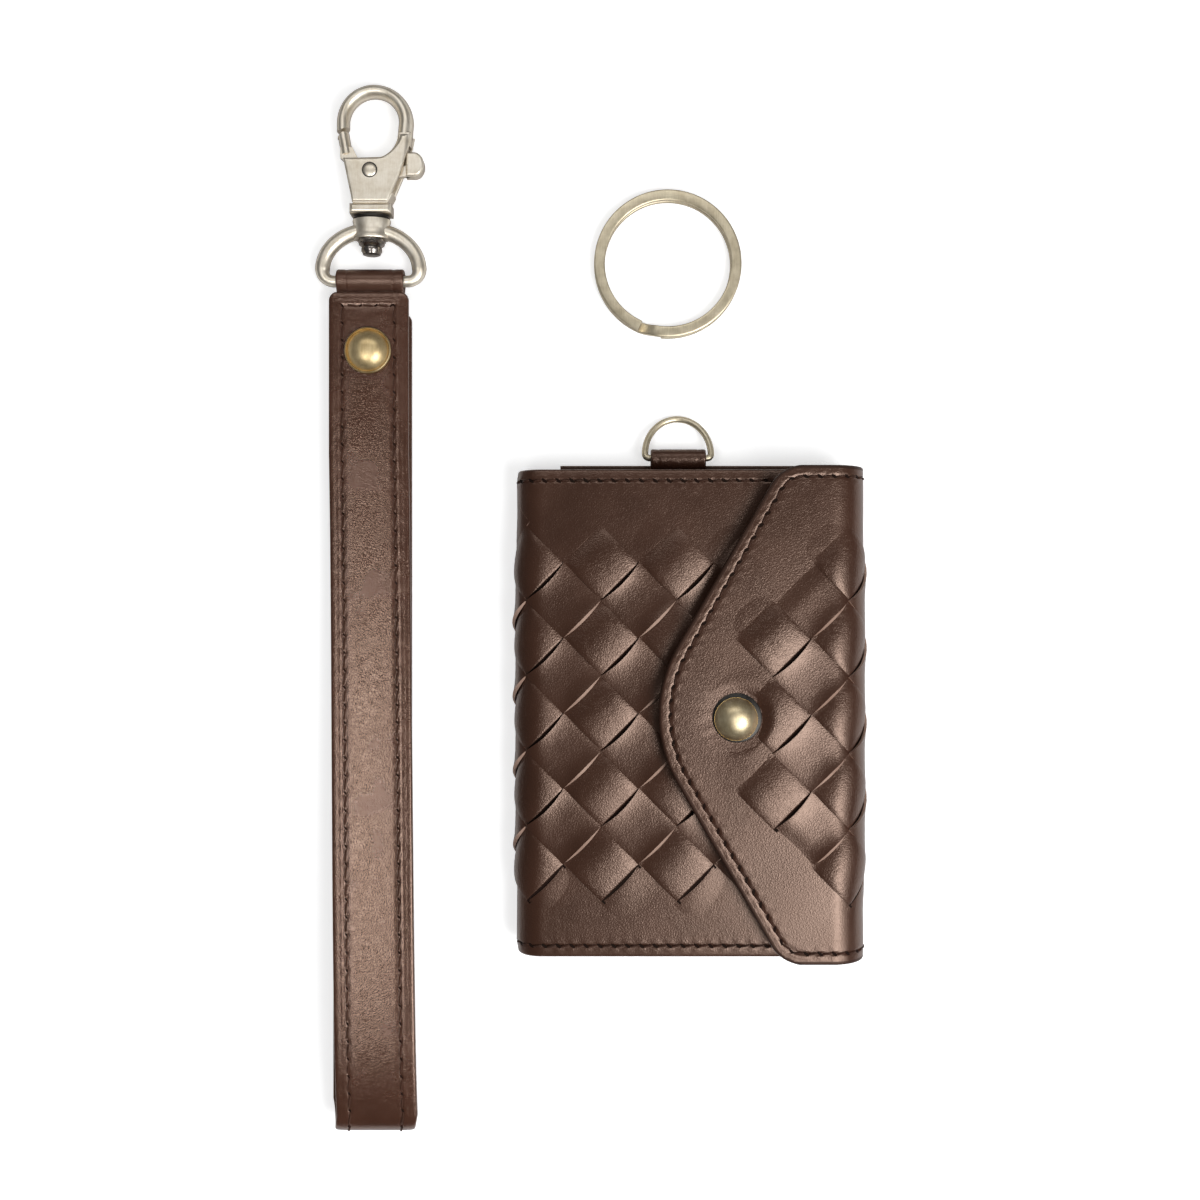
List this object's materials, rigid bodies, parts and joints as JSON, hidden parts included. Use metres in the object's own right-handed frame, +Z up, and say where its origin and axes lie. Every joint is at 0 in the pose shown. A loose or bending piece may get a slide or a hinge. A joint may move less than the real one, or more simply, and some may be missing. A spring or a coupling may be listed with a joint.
{
  "type": "woven leather wallet with wrist strap and key ring",
  "caption": "Woven leather trifold wallet with an envelope flap and snap, a D ring on a tab, a split key ring, and a wrist strap with a swivel clasp.",
  "frame": {"origin": "middle of the wallet's flat back face, on the surface that the set lies on", "axes": "+Y towards the wallet's top edge and the clasp, +X towards the flap's fold, +Z up out of the closed flap"},
  "size_m": [0.1172, 0.2245, 0.0188],
  "materials": {
    "brown_leather": "satin chocolate leather, fine grain",
    "strap_leather": "satin chocolate leather, fine creases",
    "inner_leather": "matt lining leather",
    "antique_brass": "satin antique brass",
    "pale_brass": "brushed pale brass",
    "dark_steel": "dark satin steel"
  },
  "bodies": {
    "wallet": {"outer_shell": "brown_leather", "inner_insert": "inner_leather", "card_pocket_1": "inner_leather", "card_pocket_2": "inner_leather", "cover_lining": "inner_leather", "snap_stud": "dark_steel", "snap_back": "dark_steel", "ring_tab": "brown_leather"},
    "fold": {"flap_fold": "brown_leather"},
    "flap": {"flap": "brown_leather", "flap_lining": "inner_leather", "snap_cap": "antique_brass", "snap_socket": "dark_steel"},
    "wallet_ring": {"wallet_d_ring": "pale_brass"},
    "key_ring": {"split_ring": "antique_brass"},
    "wrist_strap": {"strap_band": "strap_leather", "keeper_tab": "strap_leather", "rivet_cap": "antique_brass", "rivet_back": "antique_brass"},
    "swivel_loop": {"clasp_loop": "pale_brass"},
    "hook": {"clasp_hook": "pale_brass", "swivel_post": "dark_steel", "lever_pin": "pale_brass", "lever_spring": "dark_steel"},
    "lever": {"clasp_lever": "pale_brass"}
  },
  "joints": [
    {"name": "fold_unroll", "type": "hinge", "parent": "wallet", "child": "fold", "pos_m": [0.03496, 0, 0.00174], "axis": [0, 1, 0], "range_deg": [0, 90]},
    {"name": "flap_open", "type": "hinge", "parent": "fold", "child": "flap", "pos_m": [0.03496, 0, 0.01446], "axis": [0, 1, 0], "range_deg": [0, 90]},
    {"name": "wallet_ring_swing", "type": "hinge", "parent": "wallet", "child": "wallet_ring", "pos_m": [-0.0022, 0.0542, 0.0045], "axis": [1, 0, 0], "range_deg": [-30, 100]},
    {"name": "key_ring_lift", "type": "slide", "parent": "wallet", "child": "key_ring", "axis": [0, 0, 1], "range_m": [0, 0.1]},
    {"name": "wrist_strap_lift", "type": "slide", "parent": "wallet", "child": "wrist_strap", "axis": [0, 0, 1], "range_m": [0, 0.1]},
    {"name": "loop_swing", "type": "hinge", "parent": "wrist_strap", "child": "swivel_loop", "pos_m": [-0.0685, 0.0925, 0.00325], "axis": [1, 0, 0], "range_deg": [-45, 105]},
    {"name": "hook_swivel", "type": "hinge", "parent": "swivel_loop", "child": "hook", "pos_m": [-0.0683, 0.1063, 0.00325], "axis": [0, 1, 0], "continuous": true},
    {"name": "lever_press", "type": "hinge", "parent": "hook", "child": "lever", "pos_m": [-0.0683, 0.1158, 0.00325], "axis": [0, 0, -1], "range_deg": [0, 25], "stiffness_Nm_per_rad": 0.02, "springref_deg": -11.46}
  ],
  "couplings": [
    {"joint": "flap_open", "follows": "fold_unroll", "ratio": 1}
  ]
}
